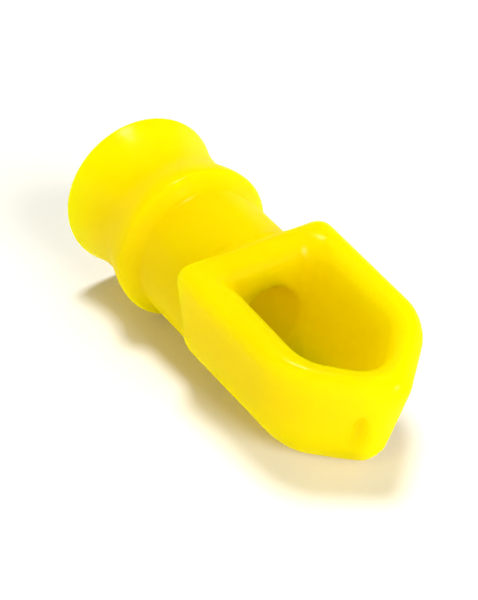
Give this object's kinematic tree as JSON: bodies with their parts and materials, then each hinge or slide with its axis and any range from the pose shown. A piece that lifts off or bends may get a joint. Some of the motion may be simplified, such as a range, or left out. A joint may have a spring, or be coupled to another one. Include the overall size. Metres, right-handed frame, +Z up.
{
  "type": "moulded line eye",
  "caption": "One-piece moulded plastic line eye: a flared through-bore for a line at one end, a ringed neck, and a house-shaped loop at the other.",
  "frame": {"origin": "centre of the footprint, on the table that the part rests on with its ring and the underside of its nose", "axes": "+X from the flared end to the nose, +Y across, +Z up from the table; the bore axis tips 7 degrees nose down in the XZ plane"},
  "size_m": [0.0826, 0.0338, 0.0355],
  "materials": {
    "yellow_plastic": "glossy as-moulded polymer, very slightly translucent, with a gate mark on one nose face"
  },
  "bodies": {
    "root": {"line_eye_body": "yellow_plastic"}
  },
  "joints": []
}
